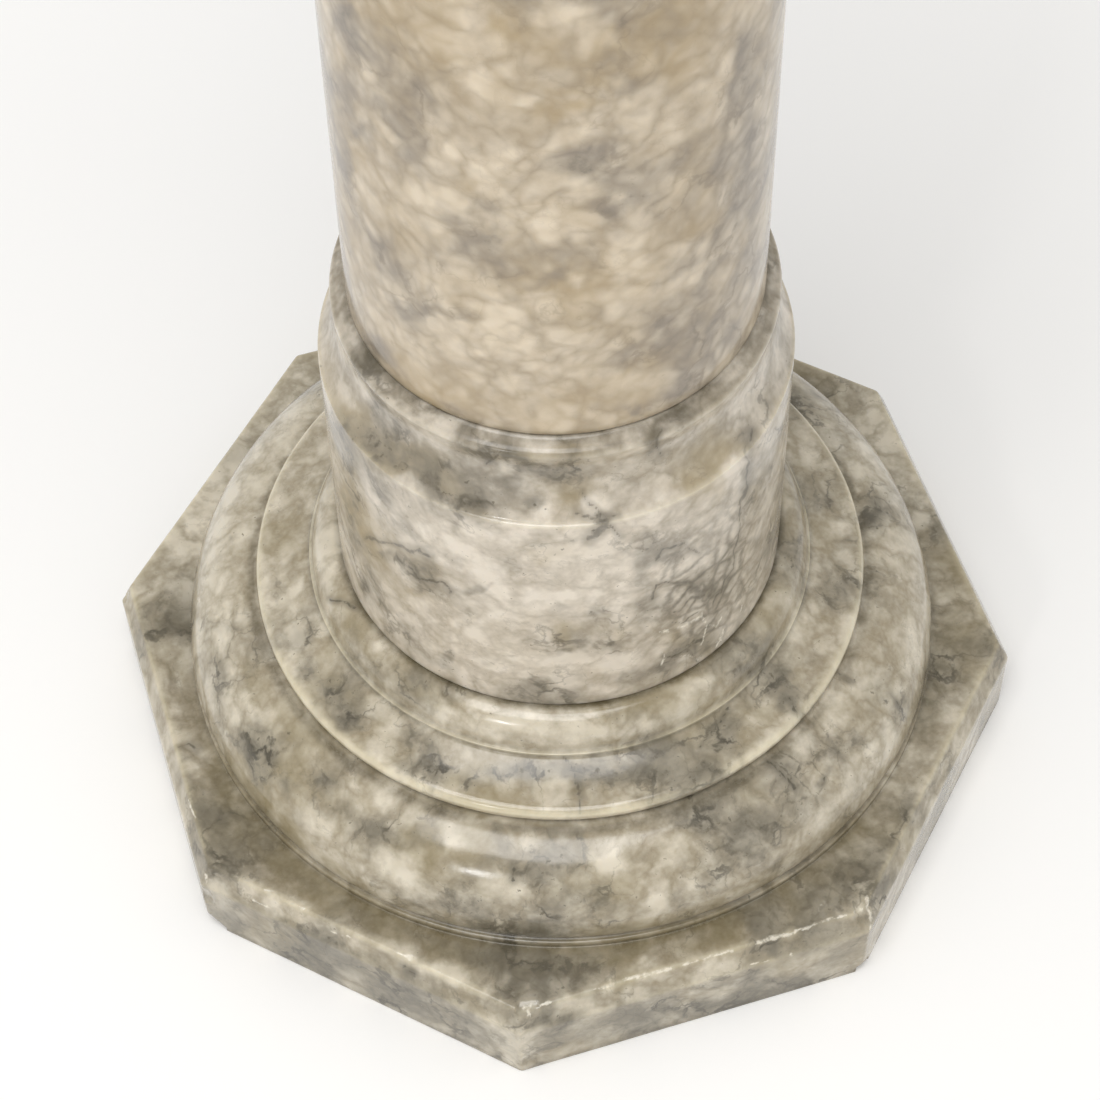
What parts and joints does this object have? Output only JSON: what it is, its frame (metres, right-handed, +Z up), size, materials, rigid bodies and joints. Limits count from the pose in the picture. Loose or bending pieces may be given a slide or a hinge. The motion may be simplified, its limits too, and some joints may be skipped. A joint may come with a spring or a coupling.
{
  "type": "marble pedestal",
  "caption": "Turned stone pedestal with an octagonal plinth, moulded base, collar drum, round shaft, neck drum and octagonal top.",
  "frame": {"origin": "middle of the underside of the octagonal plinth, on the ground", "axes": "+Z up along the shaft's axis; flats of the octagonal plinth and top face +X, -X, +Y and -Y"},
  "size_m": [0.3, 0.3, 1.0039],
  "materials": {
    "base_stone": "polished, grey-beige veined alabaster",
    "collar_stone": "polished, creamy white with grey-violet veins",
    "shaft_stone": "polished, warm beige with cream clouds"
  },
  "bodies": {
    "root": {"base_block": "base_stone", "lower_collar": "collar_stone", "shaft": "shaft_stone", "neck_drum": "collar_stone", "cap_block": "base_stone"}
  },
  "joints": []
}
